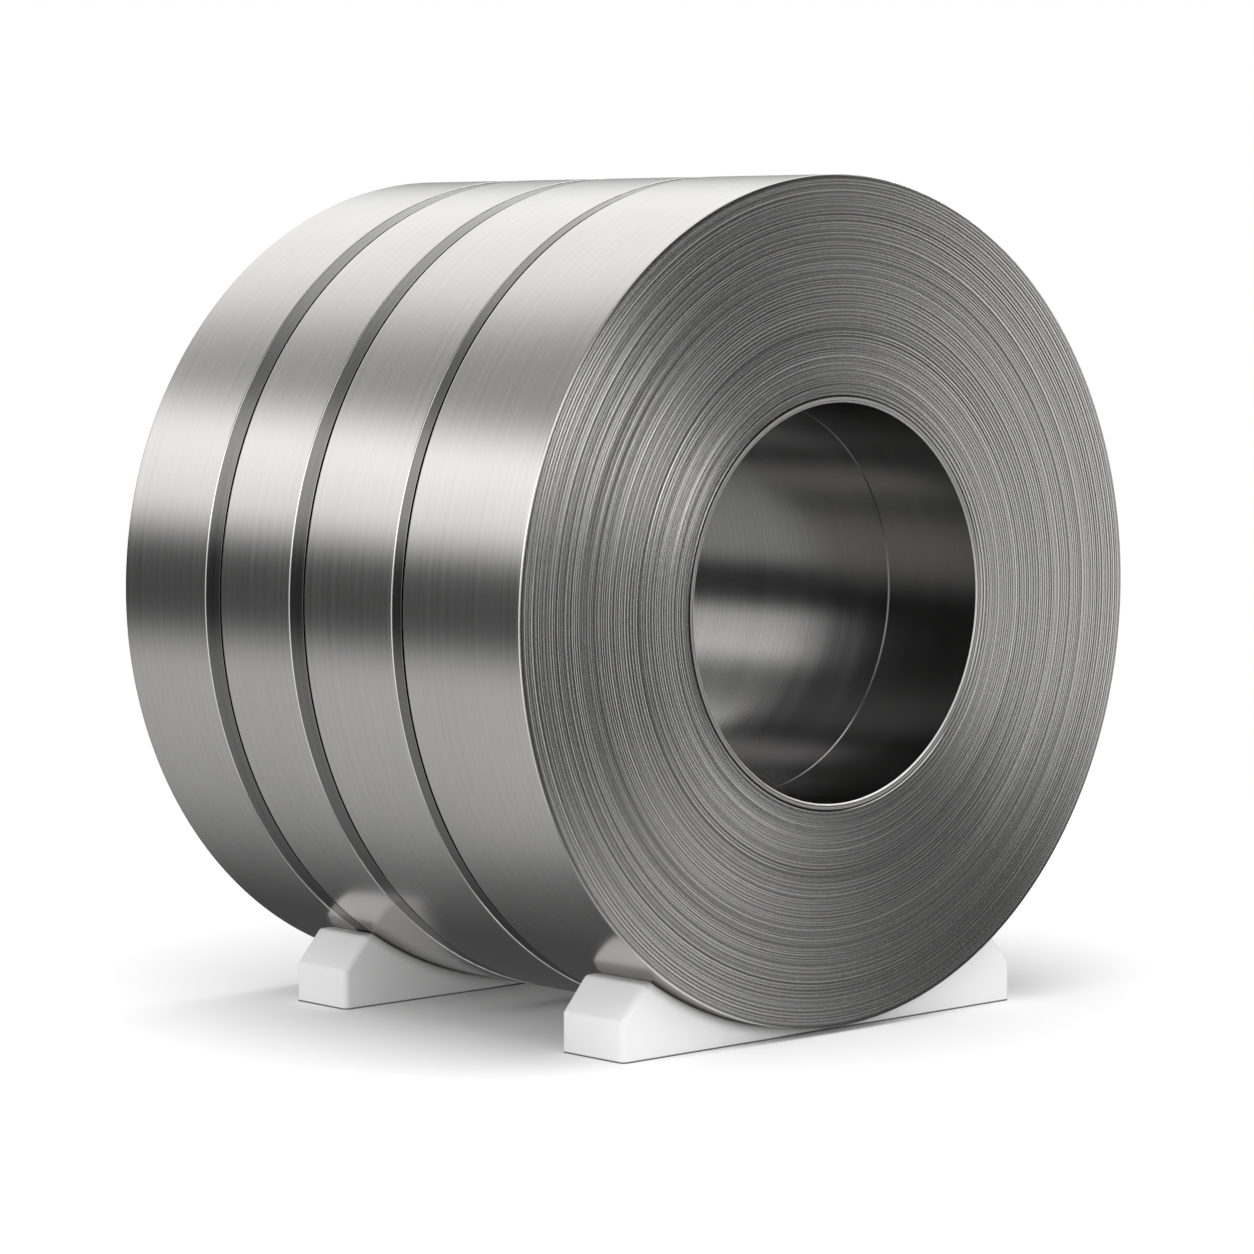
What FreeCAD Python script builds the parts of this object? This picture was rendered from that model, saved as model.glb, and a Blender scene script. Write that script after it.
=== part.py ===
import FreeCAD, Part
import math
import os

# Four slit coils of stainless strip, wound side by side on one core sleeve, kept apart by
# steel spacer rings and laid in two moulded saddle blocks. All sizes are millimetres. The
# coils' axis lies along X with the front end at +X, Z is up, and the origin is on the
# floor under the coils' middle.

# Coils, from the rear end to the front end
coil_diameter = 1080.0
rear_coil_width = 172.0
second_coil_width = 140.0
third_coil_width = 170.0
front_coil_width = 214.0
rear_gap = 32.0
middle_gap = 30.0
front_gap = 21.0
coil_edge_radius = 1.5

# Turns that show on the ends of each coil as fine rings
turn_line_spacing = 12.0
turn_line_width = 2.4
turn_line_depth = 1.2

# Core sleeve, two lengths of tube butted inside the front coil
bore_diameter = 508.0
sleeve_wall = 8.0
front_sleeve_length = 158.0
sleeve_edge_chamfer = 1.5
winding_clearance = 0.3

# Spacer rings in the gaps, against the coil behind, with an open joint to the coil ahead
spacer_recess = 1.0
spacer_joint = 4.0
spacer_edge_radius = 0.5

# Saddle blocks, lying across the coils' axis
block_length = 700.0
front_block_width = 114.0
rear_block_width = 104.0
block_height = 94.0
block_end_height = 51.0
ridge_width = 20.0
block_web = 8.0
saddle_clearance = 0.3
saddle_rim_radius = 16.0
block_edge_radius = 8.0
front_block_inset = 24.0
rear_block_reach = 14.0

# Places that follow from the sizes above
coil_radius = coil_diameter / 2
bore_radius = bore_diameter / 2
sleeve_radius = bore_radius + sleeve_wall
winding_radius = sleeve_radius + winding_clearance
spacer_radius = coil_radius - spacer_recess
saddle_radius = coil_radius + saddle_clearance
axis_height = block_web + saddle_radius
coil_widths = [rear_coil_width, second_coil_width, third_coil_width, front_coil_width]
coil_gaps = [rear_gap, middle_gap, front_gap]
total_length = sum(coil_widths) + sum(coil_gaps)
rear_end = -total_length / 2
front_end = total_length / 2
coil_starts = [rear_end + sum(coil_widths[:i] + coil_gaps[:i]) for i in range(len(coil_widths))]
second_coil_start = coil_starts[1]


def on_axis(x, radius):
    """Point in the plane above the axis, at this place along it and this far from it."""
    return FreeCAD.Vector(x, 0, axis_height + radius)


def lines(points):
    """Straight edges from each point to the next."""
    return [Part.makeLine(a, b) for a, b in zip(points, points[1:])]


def arc(start, centre, end):
    """Quarter arc from start to end about centre."""
    radius = (start - centre).Length
    middle = centre + ((start - centre) + (end - centre)).normalize() * radius
    return Part.Arc(start, middle, end).toShape()


def turned(edges):
    """Solid turned about the coils' axis from a closed outline on one side of it."""
    face = Part.Face(Part.Wire(edges))
    solid = face.revolve(FreeCAD.Vector(0, 0, axis_height), FreeCAD.Vector(1, 0, 0), 360)
    return Part.Solid(solid) if solid.ShapeType == "Shell" else solid


def end_outline(x, inward):
    """Points up one end face of a coil, with a fine groove at each ring of turns.

    inward is +1 where the coil's body lies towards +X of the end face, and -1 otherwise.
    """
    top = coil_radius - coil_edge_radius
    ring_count = int((top - winding_radius) / turn_line_spacing)
    points = [on_axis(x, winding_radius)]
    for ring in range(1, ring_count):
        radius = winding_radius + ring * turn_line_spacing
        points.append(on_axis(x, radius - turn_line_width / 2))
        points.append(on_axis(x + inward * turn_line_depth, radius))
        points.append(on_axis(x, radius + turn_line_width / 2))
    points.append(on_axis(x, top))
    return points


def thick_ring(rear_face, front_face, edge):
    """Ring between two end faces, given from the bore outwards, with rounded outer edges."""
    rear_top = rear_face[-1] + FreeCAD.Vector(edge, 0, edge)
    front_top = front_face[-1] + FreeCAD.Vector(-edge, 0, edge)
    edges = lines(rear_face)
    edges.append(arc(rear_face[-1], rear_face[-1] + FreeCAD.Vector(edge, 0, 0), rear_top))
    edges += lines([rear_top, front_top])
    edges.append(arc(front_top, front_face[-1] + FreeCAD.Vector(-edge, 0, 0), front_face[-1]))
    edges += lines(front_face[::-1])
    edges += lines([front_face[0], rear_face[0]])
    return turned(edges)


def slit_coil(start, width):
    """One coil: a thick ring with its turns on both ends."""
    return thick_ring(end_outline(start, 1), end_outline(start + width, -1), coil_edge_radius)


def spacer_ring(start, width):
    """One plain ring on the core sleeve, set back below the coils' surface."""
    top = spacer_radius - spacer_edge_radius
    rear_face, front_face = (
        [on_axis(x, winding_radius), on_axis(x, top)] for x in (start, start + width)
    )
    return thick_ring(rear_face, front_face, spacer_edge_radius)


def core_sleeve(start, end):
    """One length of the core tube, with its bore edges broken."""
    chamfer = sleeve_edge_chamfer
    points = [
        on_axis(start, bore_radius + chamfer),
        on_axis(start, sleeve_radius),
        on_axis(end, sleeve_radius),
        on_axis(end, bore_radius + chamfer),
        on_axis(end - chamfer, bore_radius),
        on_axis(start + chamfer, bore_radius),
    ]
    return turned(lines(points + points[:1]))


def saddle_cutter(rear, front):
    """The hollow that the coils lie in, with its rim rounded at both faces of the block."""
    margin = block_edge_radius
    rim = saddle_rim_radius
    rear_rim = on_axis(rear, saddle_radius + rim)
    rear_seat = on_axis(rear + rim, saddle_radius)
    front_seat = on_axis(front - rim, saddle_radius)
    front_rim = on_axis(front, saddle_radius + rim)
    edges = [arc(rear_rim, on_axis(rear + rim, saddle_radius + rim), rear_seat)]
    edges += lines([rear_seat, front_seat])
    edges.append(arc(front_seat, on_axis(front - rim, saddle_radius + rim), front_rim))
    edges += lines([
        front_rim,
        on_axis(front + margin, saddle_radius + rim),
        on_axis(front + margin, 0),
        on_axis(rear - margin, 0),
        on_axis(rear - margin, saddle_radius + rim),
        rear_rim,
    ])
    return turned(edges)


def saddle_block(rear, width):
    """One block: upright ends, a slope up to a short ridge, and the saddle between."""
    half_length = block_length / 2
    saddle_half = math.sqrt(saddle_radius ** 2 - (axis_height - block_height) ** 2)
    ridge_end = saddle_half + ridge_width
    outline = [(-half_length, 0), (-half_length, block_end_height), (-ridge_end, block_height),
               (ridge_end, block_height), (half_length, block_end_height), (half_length, 0)]
    points = [FreeCAD.Vector(rear, y, z) for y, z in outline]
    face = Part.Face(Part.makePolygon(points + points[:1]))
    block = face.extrude(FreeCAD.Vector(width, 0, 0))
    above_floor = [edge for edge in block.Edges if edge.BoundBox.ZMax > block_edge_radius]
    block = block.makeFillet(block_edge_radius, above_floor)
    return block.cut(saddle_cutter(rear, rear + width)).removeSplitter()


def save(name, shape):
    """Write one piece as a single solid."""
    solid = shape.Solids[0]
    assert len(shape.Solids) == 1 and solid.isValid(), name
    solid.exportStep("parts/" + name + ".step")
    print(name, "volume", round(solid.Volume / 1e9, 5), "m3")


os.makedirs("parts", exist_ok=True)

coil_names = ["slit_coil_rear", "slit_coil_second", "slit_coil_third", "slit_coil_front"]
for name, start, width in zip(coil_names, coil_starts, coil_widths):
    save(name, slit_coil(start, width))

spacer_names = ["spacer_ring_rear", "spacer_ring_middle", "spacer_ring_front"]
for name, start, width, gap in zip(spacer_names, coil_starts, coil_widths, coil_gaps):
    save(name, spacer_ring(start + width, gap - spacer_joint))

sleeve_joint = front_end - front_sleeve_length
save("core_sleeve_rear", core_sleeve(rear_end, sleeve_joint))
save("core_sleeve_front", core_sleeve(sleeve_joint, front_end))

# The rear block carries the rear coil and reaches past the gap, under the second coil's edge
rear_block_start = second_coil_start + rear_block_reach - rear_block_width
front_block_start = front_end - front_block_inset - front_block_width
save("saddle_block_rear", saddle_block(rear_block_start, rear_block_width))
save("saddle_block_front", saddle_block(front_block_start, front_block_width))
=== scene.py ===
import math
import random

import bpy
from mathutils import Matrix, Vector


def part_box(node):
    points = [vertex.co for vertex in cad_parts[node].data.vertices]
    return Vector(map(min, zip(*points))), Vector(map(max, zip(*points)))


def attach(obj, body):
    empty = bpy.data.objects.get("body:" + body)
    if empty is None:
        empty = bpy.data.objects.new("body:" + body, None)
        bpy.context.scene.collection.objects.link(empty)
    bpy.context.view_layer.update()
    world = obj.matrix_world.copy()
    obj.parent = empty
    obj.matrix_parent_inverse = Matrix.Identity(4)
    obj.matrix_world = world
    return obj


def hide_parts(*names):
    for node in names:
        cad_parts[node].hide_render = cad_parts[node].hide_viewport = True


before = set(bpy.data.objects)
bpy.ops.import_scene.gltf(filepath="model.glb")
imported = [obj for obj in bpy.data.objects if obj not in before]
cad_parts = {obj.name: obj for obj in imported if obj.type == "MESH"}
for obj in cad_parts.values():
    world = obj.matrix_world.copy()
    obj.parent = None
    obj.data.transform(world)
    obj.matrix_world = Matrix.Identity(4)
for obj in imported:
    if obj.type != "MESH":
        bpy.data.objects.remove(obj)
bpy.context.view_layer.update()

# The view: a long lens from the front right, a little above the coils' axis, with the
# front end of the coils turned to the right of the picture.
view_azimuth = math.radians(47.2)
view_elevation = math.radians(4.7)
view_distance = 5.872
view_aim = Vector((-0.006, 0, 0.495))
lens_length = 126.8

towards_viewer = Vector((
    math.sin(view_azimuth) * math.cos(view_elevation),
    -math.cos(view_azimuth) * math.cos(view_elevation),
    math.sin(view_elevation),
))
bpy.ops.object.camera_add(location=view_aim + towards_viewer * view_distance)
camera = bpy.context.object
camera.rotation_euler = towards_viewer.to_track_quat("Z", "Y").to_euler()
camera.data.lens = lens_length
bpy.context.scene.camera = camera
bpy.context.scene.view_settings.view_transform = "Standard"


# The saddle blocks: two solid white blocks of moulded polyethylene, satin, with soft
# edges. Each lies on the floor across the coils, which rest in its hollow by their weight.
class Wire:
    """One output of a material's nodes. Arithmetic on it adds Math nodes."""

    def __init__(self, socket):
        self.socket = socket
        self.tree = socket.id_data

    def node(self, kind, settings=None, sockets=None, output=0):
        """Adds a node with its settings and then its sockets, and gives one output of it."""
        made = self.tree.nodes.new("ShaderNode" + kind)
        for name, value in (settings or {}).items():
            setattr(made, name, value)
        for name, value in (sockets or {}).items():
            if isinstance(value, Wire):
                self.tree.links.new(value.socket, made.inputs[name])
            else:
                made.inputs[name].default_value = value
        return Wire(made.outputs[output])

    def also(self, output):
        """Another output of the same node."""
        return Wire(self.socket.node.outputs[output])

    def math(self, operation, *values):
        """A Math node on these values."""
        return self.node("Math", {"operation": operation}, dict(enumerate(values)))

    def __add__(self, other):
        return self.math("ADD", self, other)

    def __sub__(self, other):
        return self.math("SUBTRACT", self, other)

    def __rsub__(self, other):
        return self.math("SUBTRACT", other, self)

    def __mul__(self, other):
        return self.math("MULTIPLY", self, other)

    def __truediv__(self, other):
        return self.math("DIVIDE", self, other)

    def __pow__(self, other):
        return self.math("POWER", self, other)

    __radd__ = __add__
    __rmul__ = __mul__


def new_material(name):
    """A material, its shader, and the place on the object as a wire."""
    material = bpy.data.materials.new(name)
    material.use_nodes = True
    tree = material.node_tree
    place = tree.nodes.new("ShaderNodeTexCoord")
    return material, tree.nodes["Principled BSDF"], Wire(place.outputs["Object"])


def paint(shader, **finish):
    """Sets or links the shader's sockets; an underscore in a name stands for a space."""
    for name, value in finish.items():
        socket = shader.inputs[name.replace("_", " ")]
        if isinstance(value, Wire):
            value.tree.links.new(value.socket, socket)
        else:
            socket.default_value = value


def noise(place, scale=1.0, detail=2.0):
    """Noise about 0.5 at a place, with features of about one over scale in size."""
    return place.node("TexNoise", {}, {"Vector": place, "Scale": scale, "Detail": detail})


def blend(factor, first, second):
    """A colour between two colours."""
    sockets = {0: factor, 6: (*first, 1), 7: (*second, 1)}
    return factor.node("Mix", {"data_type": "RGBA"}, sockets, output=2)


def relief(height):
    """The surface's direction from a height in metres."""
    return height.node("Bump", {}, {"Height": height, "Distance": 1.0})


def finish_nodes(names, material):
    """Gives the solids of these nodes their material."""
    for name in names:
        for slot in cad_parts[name].material_slots:
            slot.material = material


def step(value, low, high):
    """Rises smoothly from 0 at low to 1 at high."""
    sockets = {0: value, 1: low, 2: high, 3: 0.0, 4: 1.0}
    return value.node("MapRange", {"interpolation_type": "SMOOTHSTEP"}, sockets)


millimetre = 0.001
# The dark colour at the foot is painted shadow, where the block meets the floor
painted_foot_shadow = (0.10, 0.10, 0.10)
clean_white = (0.92, 0.915, 0.915)

white_polyethylene, shader, place = new_material("white_polyethylene")
clouding = noise(place, 9.0, detail=3.0)
grain = noise(place, 900.0)
height = place.node("SeparateXYZ", {}, {0: place}, output=2)
# The lowest two millimetres of each block are painted dark: a painted contact shadow along
# the floor
clear_of_foot_shadow = step(height, 1.2 * millimetre, 2.6 * millimetre)
whiteness = clear_of_foot_shadow * (0.93 + 0.07 * clouding)
paint(
    shader,
    Base_Color=blend(whiteness, painted_foot_shadow, clean_white),
    Roughness=0.36 + 0.12 * grain,
    Normal=relief(0.02 * millimetre * grain),
)
finish_nodes(["saddle_block_rear", "saddle_block_front"], white_polyethylene)


# The core sleeve: a steel tube in two lengths that the strip is wound on. It is rolled
# and welded plate, ground smooth inside, and the lengths butt inside the front coil.
coil_low, coil_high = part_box("slit_coil_front")
axis_height = (coil_low.z + coil_high.z) / 2
coil_radius = (coil_high.z - coil_low.z) / 2


def round_axis(place):
    """The place along the coils' axis, its distance from it, and its direction round it."""
    along = place.node("SeparateXYZ", {}, {0: place})
    across = along.also(1)
    above = along.also(2) - axis_height
    radius = (across * across + above * above) ** 0.5
    return along, radius, across / radius, above / radius


def joined(x, y, z):
    """Three wires as one vector."""
    return x.node("CombineXYZ", {}, {0: x, 1: y, 2: z})


def lines(width, detail=2.0):
    """Noise about 0.5 that changes with the width alone, about once in each unit of it."""
    sockets = {"W": width, "Scale": 1.0, "Detail": detail}
    return width.node("TexNoise", {"noise_dimensions": "1D"}, sockets)


def lines_round(width, across, above, arc=1.5, detail=2.0):
    """Lines that run round the axis, one for each unit of width, and fade along arcs.

    A width of 900 * along gives about 900 lines to the metre along the axis.
    """
    fade = noise(joined(0.06 * width, arc * across, arc * above), detail=1.0)
    fade = step(fade, 0.35, 0.65)
    first = lines(width, detail)
    second = lines(width + 500.0, detail)
    return second + fade * (first - second)


def gained(value, gain):
    """Noise with its contrast raised about the middle."""
    return gain * (value - 0.5)


def steel_colour(brightness):
    """The slightly warm grey of bare steel."""
    return blend(brightness, (0, 0, 0), (1, 0.986, 0.977))


sleeve_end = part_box("core_sleeve_front")[1].x
bore_radius = 254 * millimetre
bore_chamfer = 1.5 * millimetre

ground_steel, shader, place = new_material("ground_sleeve_steel")
along, radius, across, above = round_axis(place)
scratches = lines_round(450 * along, across, above, arc=3.0, detail=4.0)
bands = lines_round(25 * along, across, above, arc=1.0)
# The wall's low tone is partly the ground steel's own and partly painted shade inside the
# bore; the scratches and bands are the steel's own
wall_tone_and_bore_shade = 0.24 + gained(scratches, 0.16) + gained(bands, 0.06)

# The two open ends, by the depth into the wall in millimetres
depth = (radius - bore_radius) / millimetre
end_lines = lines_round(900 * radius, across, above)
lip = 1 - step(depth, 1.6, 2.0)
turned_groove = step(depth, 2.2, 2.8) * (1 - step(depth, 3.2, 3.8))
# The outermost millimetre of each end is painted dark, as shade at the clearance to the coil
# around it
painted_clearance_shade = step(depth, 6.4, 7.2)
end_tone = 0.50 + gained(end_lines, 0.3)
end_tone = end_tone + 0.40 * lip - 0.35 * turned_groove - 0.42 * painted_clearance_shade

chamfer_start = sleeve_end - bore_chamfer
from_middle = along.math("ABSOLUTE", along)
end = step(from_middle, chamfer_start - 0.2 * millimetre, chamfer_start)
paint(
    shader,
    Metallic=1.0,
    Base_Color=steel_colour((1 - end) * wall_tone_and_bore_shade + end * end_tone),
    Roughness=0.17 + 0.06 * bands + 0.25 * end,
    Normal=relief(millimetre * (0.03 * scratches + 0.05 * end_lines)),
)
finish_nodes(["core_sleeve_rear", "core_sleeve_front"], ground_steel)


# The spacer rings: three narrow rings of plain dark steel on the sleeve, one in each gap.
# Each lies against the coil behind it, just below the coils' surface. They are turned round
# their outside. A painted highlight lightens the outside just behind the front face, and
# painted shadow blackens the face in the open joint ahead.
def ring_steel(name, low, high):
    """Turned steel, for a ring that reaches from low to high along the axis; low is not
    used.
    """
    material, shader, place = new_material(name)
    along, radius, across, above = round_axis(place)
    tool_marks = lines_round(800 * along, across, above, detail=3.0)
    bands = lines_round(120 * along, across, above, arc=1.5)
    # A painted highlight lightens the outside just behind the front face
    edge = step(along, high - 1.6 * millimetre, high - 0.8 * millimetre)
    tone = 0.17 + gained(tool_marks, 0.14) + gained(bands, 0.07) + 0.12 * edge
    # Painted shadow blackens the front face in the open joint ahead
    painted_joint_shadow = step(along, high - 0.3 * millimetre, high - 0.1 * millimetre)
    paint(
        shader,
        Metallic=1.0,
        Base_Color=steel_colour(tone * (1 - 0.9 * painted_joint_shadow)),
        Roughness=0.16 + 0.06 * bands,
        Normal=relief(0.03 * millimetre * tool_marks),
    )
    return material


for gap in ("rear", "middle", "front"):
    node = "spacer_ring_" + gap
    low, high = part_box(node)[0].x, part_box(node)[1].x
    finish_nodes([node], ring_steel("turned_steel_" + gap, low, high))


# The slit coils: four rings of cold-rolled stainless strip, slit to width and wound side
# by side on the sleeve. Bright brushed outside, with the edges of the turns on the ends.
sleeve_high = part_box("core_sleeve_front")[1]
winding_radius = sleeve_high.z - axis_height + 0.3 * millimetre
edge_radius = 1.5 * millimetre
edge_hold = 0.8 * millimetre
first_turn_bevel = 1.6 * millimetre
turn_pitch = 4.5 * millimetre
pitch_range = (0.8, 1.2)
turn_flat = (0.3, 0.75)
turn_groove = (0.06 * millimetre, 0.16 * millimetre)
turn_shift = 0.04 * millimetre
edge_spacing = 4.4 * millimetre
spin_steps = 240
smooth_below = math.radians(35)


def strip_steel(name, low, high):
    """Brushed strip, for a coil that reaches from low to high along the axis."""
    material, shader, place = new_material(name)
    along, radius, across, above = round_axis(place)
    cloud = noise(place, 7.0, detail=3.0)

    hairlines = lines_round(900 * along, across, above, arc=5.0, detail=3.0)
    streaks = lines_round(110 * along, across, above, arc=1.5)
    from_edge = along.math("MINIMUM", along - low, high - along)
    rim = 1 - step(from_edge, 0.4 * millimetre, 1.8 * millimetre)
    strip_tone = 0.5 + gained(hairlines, 0.20) + gained(streaks, 0.08)
    strip_tone = strip_tone + gained(cloud, 0.06) + 0.40 * rim

    # The turns' edges wander a little from true circles, and aren't evenly spaced
    wander = noise(joined(8 * radius, 1.3 * across, 1.3 * above))
    drifted = radius + 1.2 * millimetre * wander
    uneven = gained(lines(60 * radius), 14)
    # In the colour, edges paints the light and shade of the grooves between turns; in the
    # relief they are real bumps
    edges = uneven.math("SINE", math.tau / edge_spacing * drifted + uneven)
    ridges = lines(1500 * drifted)
    turns = lines_round(420 * drifted, across, above, arc=0.8, detail=1.0)
    outer_turn = step(radius, coil_radius - 4.5 * millimetre, coil_radius - 3.5 * millimetre)
    # 0.08 * edges is painted light and shade of the turns' grooves; turns and ridges are the
    # turns' own tone
    face_tone = 0.5 + 0.08 * edges + gained(turns, 0.35) + gained(ridges, 0.15)
    face_tone = face_tone - 0.2 * outer_turn

    outside = step(radius, coil_radius - 1.9 * millimetre, coil_radius - 1.4 * millimetre)
    tone = outside * strip_tone + (1 - outside) * face_tone
    face_height = 0.05 * edges + 0.10 * ridges
    paint(
        shader,
        Metallic=1.0,
        Base_Color=steel_colour(tone),
        Roughness=0.18 + 0.05 * streaks - 0.05 * (1 - outside),
        Normal=relief(millimetre * (1 - outside) * face_height),
    )
    return material


def plain_end(face):
    """The outline of an end that a spacer ring covers, from the bore outwards."""
    return [(face, winding_radius), (face, coil_radius - edge_radius)]


def wound_end(face, inward, seed):
    """The outline of an open end, from the bore outwards, over the edge of each turn.

    inward is +1 where the coil's body lies towards +X of its end, and -1 otherwise. The
    turns aren't quite level: each is set back a little more or less than its neighbours,
    and is flat over the turn_flat part of its pitch, with a groove before it.
    """
    draws = random.Random(seed)
    points = [
        (face + inward * first_turn_bevel, winding_radius),
        (face, winding_radius + first_turn_bevel),
    ]
    radius = winding_radius + 2 * first_turn_bevel
    top = coil_radius - edge_radius
    while radius < top - 1.5 * turn_pitch:
        pitch = draws.uniform(*pitch_range) * turn_pitch
        set_back = abs(draws.gauss(0, turn_shift))
        groove = set_back + draws.uniform(*turn_groove)
        points.append((face + inward * groove, radius))
        points.append((face + inward * set_back, radius + turn_flat[0] * pitch))
        points.append((face + inward * set_back, radius + turn_flat[1] * pitch))
        radius += pitch
    points.append((face + inward * turn_groove[0], radius))
    points.append((face, radius + turn_flat[0] * turn_pitch))
    points.append((face, top))
    return points


def rounded(face, inward):
    """The outline of a coil's outer edge, from its end face round to its outside.

    The last point lies on the outside, so that the edge's shading ends there.
    """
    middle = math.radians(45)
    x = face + inward * edge_radius * (1 - math.cos(middle))
    radius = coil_radius - edge_radius * (1 - math.sin(middle))
    outside = face + inward * (edge_radius + edge_hold)
    return [(x, radius), (face + inward * edge_radius, coil_radius), (outside, coil_radius)]


def turned(name, outline):
    """A ring turned about the coils' axis from a closed outline of (x, radius) points."""
    bpy.ops.object.select_all(action="DESELECT")
    x, radius = outline[0]
    bpy.ops.mesh.primitive_plane_add(size=millimetre, location=(x, 0, axis_height + radius))
    ring = bpy.context.object
    ring.name = name
    bpy.ops.object.mode_set(mode="EDIT")
    bpy.ops.mesh.merge(type="CENTER")
    for (x, radius), (next_x, next_radius) in zip(outline, outline[1:] + outline[:1]):
        move = (next_x - x, 0, next_radius - radius)
        bpy.ops.mesh.extrude_region_move(TRANSFORM_OT_translate={"value": move})
    bpy.ops.mesh.select_all(action="SELECT")
    middle = (0, 0, axis_height)
    bpy.ops.mesh.spin(steps=spin_steps, angle=math.tau, center=middle, axis=(1, 0, 0))
    bpy.ops.mesh.select_all(action="SELECT")
    bpy.ops.mesh.remove_doubles(threshold=0.01 * millimetre)
    bpy.ops.mesh.normals_make_consistent(inside=False)
    bpy.ops.object.mode_set(mode="OBJECT")
    bpy.ops.object.transform_apply(location=True, rotation=True, scale=True)
    bpy.ops.object.shade_smooth_by_angle(angle=smooth_below)
    return ring


for spot in ("rear", "second", "third", "front"):
    node = "slit_coil_" + spot
    low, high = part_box(node)[0].x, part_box(node)[1].x
    rear_end = wound_end(low, 1, "rear end") if spot == "rear" else plain_end(low)
    front_end = wound_end(high, -1, "front end") if spot == "front" else plain_end(high)
    rear_end += rounded(low, 1)
    front_end += rounded(high, -1)
    coil = turned("wound_coil_" + spot, rear_end + front_end[::-1])
    coil.data.materials.append(strip_steel("brushed_strip_" + spot, low, high))
    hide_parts(node)
    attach(coil, "root")


# The studio: a pale floor that fades into the white surround, one soft lamp overhead on
# the viewer's side, and a dim room with lit panels all round that only reflections show.
floor_radius = 3.0
floor_fade = (1.3, 2.7)
lamp_place = (0.9, -0.8, 4.5)
lamp_size = 4.5
lamp_power = 120.0
surround_light = 0.95

bpy.ops.object.select_all(action="DESELECT")
bpy.ops.mesh.primitive_circle_add(vertices=96, radius=floor_radius, fill_type="NGON")
floor = bpy.context.object
floor.name = "floor"
pale_floor, shader, place = new_material("pale_floor")
reach = place.node("VectorMath", {"operation": "LENGTH"}, {0: place}, output=1)
paint(
    shader,
    Base_Color=(0.95, 0.95, 0.95, 1),
    Roughness=0.9,
    Specular_IOR_Level=0.0,
    Alpha=1 - step(reach, *floor_fade),
)
floor.data.materials.append(pale_floor)
floor.visible_glossy = False

room_dimness = 0.08
# Each panel, seen from the coils in degrees, with azimuth 0 in front of the long side and
# 90 in front of the bore: its left, right and soft side, bottom, top and soft edge, strength
room_panels = [
    (-70, 40, 16, 9, 29, 5, 1.40),
    (-90, -40, 10, 20, 50, 6, 0.40),
    (-165, -83, 18, 18, 60, 14, 1.38),
    (-76, 20, 34, -46, -11, 5, 0.66),
    (-20, 55, 10, -20, 60, 15, 0.80),
    (140, 166, 4, -11, 16, 4, 1.18),
    (151, 165, 4, 20, 38, 4, 7.4),
    (103, 118, 3, 2, 12, 3, 3.6),
    (74, 94, 4, 7, 18, 4, 1.6),
    (112, 131, 4, -38, -14, 5, 1.0),
    (70, 180, 10, 46, 62, 5, 1.8),
    (62, 98, 8, -30, 30, 10, 0.35),
    (-180, 180, 1, 64, 90, 6, 1.2),
    (-180, 180, 1, -90, -54, 6, 0.40),
]
room_radius = 9.0
room_centre = (0, 0, axis_height)
bpy.ops.object.select_all(action="DESELECT")
bpy.ops.mesh.primitive_uv_sphere_add(
    segments=48, ring_count=24, radius=room_radius, location=room_centre
)
room = bpy.context.object
room.name = "studio_room"
room.visible_camera = False
room.visible_diffuse = False
room.visible_shadow = False
room.visible_transmission = False
room.visible_volume_scatter = False
room_light, shader, place = new_material("room_light")
direction = place.node("VectorMath", {"operation": "NORMALIZE"}, {0: place})
east = direction.node("SeparateXYZ", {}, {0: direction})
azimuth = east.math("ARCTAN2", east, -1 * east.also(1)) * math.degrees(1)
elevation = east.math("ARCSINE", east.also(2)) * math.degrees(1)


def panel(left, right, soft_side, bottom, top, soft_edge, strength):
    """The light of one panel of the room."""
    turn = azimuth.math("WRAP", azimuth - (left + right) / 2, 180, -180)
    beside = turn.math("ABSOLUTE", turn) - (right - left) / 2
    over = elevation - (bottom + top) / 2
    over = over.math("ABSOLUTE", over) - (top - bottom) / 2
    within_sides = 1 - step(beside, -soft_side, soft_side)
    within_edges = 1 - step(over, -soft_edge, soft_edge)
    return strength * within_sides * within_edges


paint(
    shader,
    Base_Color=(0, 0, 0, 1),
    Roughness=1.0,
    Specular_IOR_Level=0.0,
    Emission_Color=room_dimness + sum(panel(*values) for values in room_panels),
    Emission_Strength=1.0,
)
# Reflections find the panels by themselves, so the room isn't sampled as a lamp
room_light.cycles.emission_sampling = "NONE"
room.data.materials.append(room_light)

bpy.ops.object.light_add(type="AREA", location=lamp_place)
lamp = bpy.context.object
lamp.data.size = lamp_size
lamp.data.energy = lamp_power
lamp.visible_glossy = False
lamp.visible_camera = False

world = bpy.data.worlds.new("white_surround")
bpy.context.scene.world = world
world.use_nodes = True
tree = world.node_tree
background = tree.nodes["Background"]
camera_ray = Wire(tree.nodes.new("ShaderNodeLightPath").outputs["Is Camera Ray"])
glossy_ray = camera_ray.also("Is Glossy Ray")
seen = camera_ray.math("MAXIMUM", camera_ray, glossy_ray)
seen = seen.math("MAXIMUM", seen, camera_ray.also("Is Transmission Ray"))
# Pure white where it is seen, and a little less as light
strength = surround_light + (1 - surround_light) * seen
background.inputs["Color"].default_value = (1, 1, 1, 1)
tree.links.new(strength.socket, background.inputs["Strength"])
